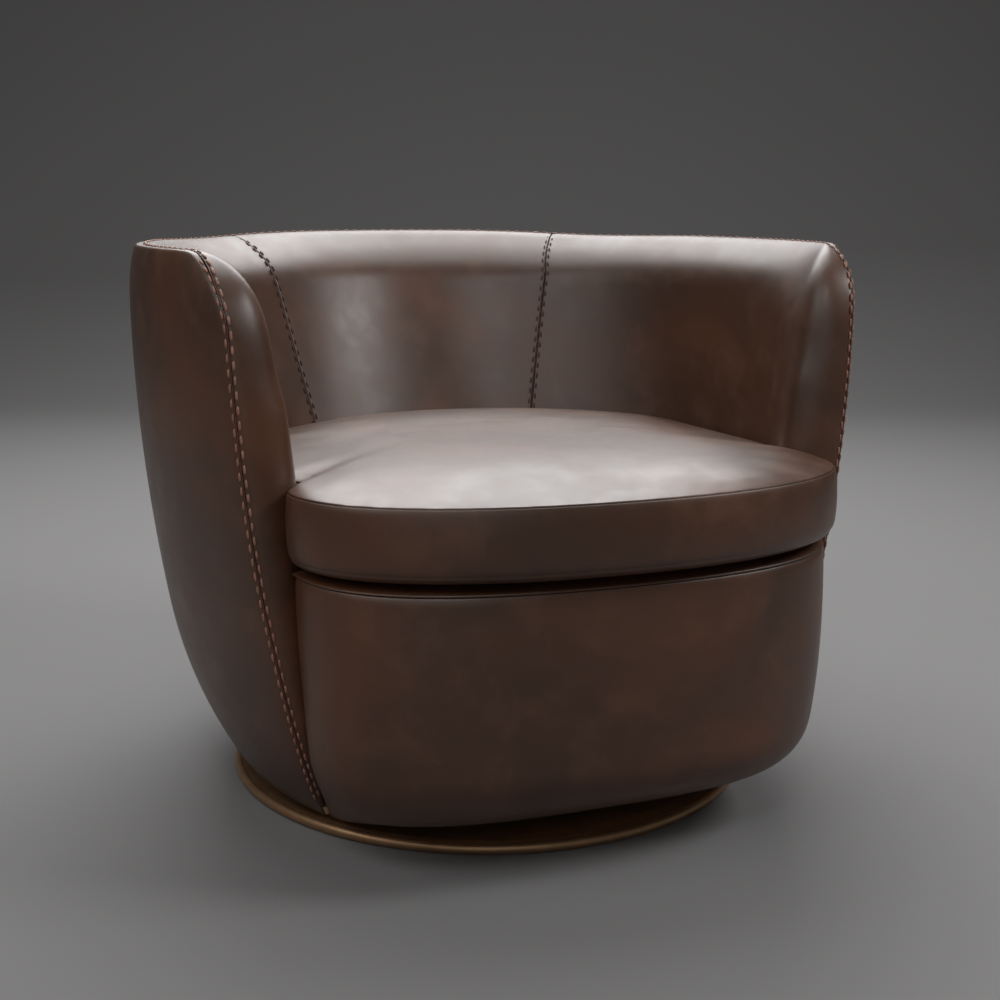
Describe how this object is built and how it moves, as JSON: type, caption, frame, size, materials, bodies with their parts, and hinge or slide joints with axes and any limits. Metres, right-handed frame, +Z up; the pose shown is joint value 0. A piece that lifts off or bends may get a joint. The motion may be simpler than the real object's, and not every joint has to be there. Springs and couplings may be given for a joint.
{
  "type": "swivel chair",
  "caption": "Low barrel-shaped swivel armchair in dark brown leather, with a loose seat cushion, on a round bronze-coloured plinth ring.",
  "frame": {"origin": "on the floor, on the swivel axis, in the middle of the base's underside", "axes": "+Z up along the swivel axis, -Y towards the seat's front, +X to the viewer's right when the seat's front is seen"},
  "size_m": [0.872, 0.9402, 0.674],
  "materials": {
    "leather": "aged pull-up leather, mottled dark brown with a soft sheen",
    "bronze": "satin antique bronze",
    "plywood": "raw birch plywood",
    "steel": "zinc-plated steel",
    "cage_brass": "plain pressed brass",
    "nylon": "natural nylon",
    "felt": "dense grey felt",
    "black_cloth": "black woven cloth and webbing",
    "foam": "cream polyurethane foam",
    "slider_metal": "dark antique zip slider"
  },
  "bodies": {
    "base": {"base_ring": "bronze", "base_plate": "bronze", "plinth_board": "plywood", "floor_pad": "felt", "swivel_lower_plate": "steel", "swivel_pin": "steel", "pin_washer": "steel", "pin_nut": "steel", "lower_plate_screws": "steel"},
    "bearing": {"ball_cage": "cage_brass", "bearing_balls": "steel"},
    "tub": {"swivel_upper_plate": "steel", "swivel_bush": "nylon", "upper_plate_bolts": "steel", "tee_nuts": "steel", "bottom_board": "plywood", "bottom_hoop": "plywood", "dust_cover": "black_cloth", "posts": "plywood", "seat_frame": "plywood", "front_rail": "plywood", "webbing_long": "black_cloth", "webbing_cross": "black_cloth", "deck_felt": "felt", "deck_foam": "foam", "deck_cloth": "black_cloth", "deck_lip_leather": "leather", "plywood_shell": "plywood", "arm_back_foam": "foam", "outer_leather": "leather", "inner_leather_left": "leather", "inner_leather_back": "leather", "inner_leather_right": "leather", "front_board": "plywood", "front_foam": "foam", "front_leather": "leather"},
    "cushion": {"cushion_foam": "foam", "cushion_cover": "leather", "cushion_zip": "black_cloth", "zip_slider": "slider_metal"}
  },
  "joints": [
    {"name": "swivel", "type": "hinge", "parent": "base", "child": "tub", "pos_m": [0, 0, 0.025], "axis": [0, 0, 1], "continuous": true},
    {"name": "bearing_turn", "type": "hinge", "parent": "base", "child": "bearing", "pos_m": [0, 0, 0.025], "axis": [0, 0, 1], "continuous": true},
    {"name": "cushion_lift", "type": "slide", "parent": "tub", "child": "cushion", "axis": [0, 0, 1], "range_m": [0, 0.36]}
  ],
  "couplings": [
    {"joint": "bearing_turn", "follows": "swivel", "ratio": 0.5}
  ]
}
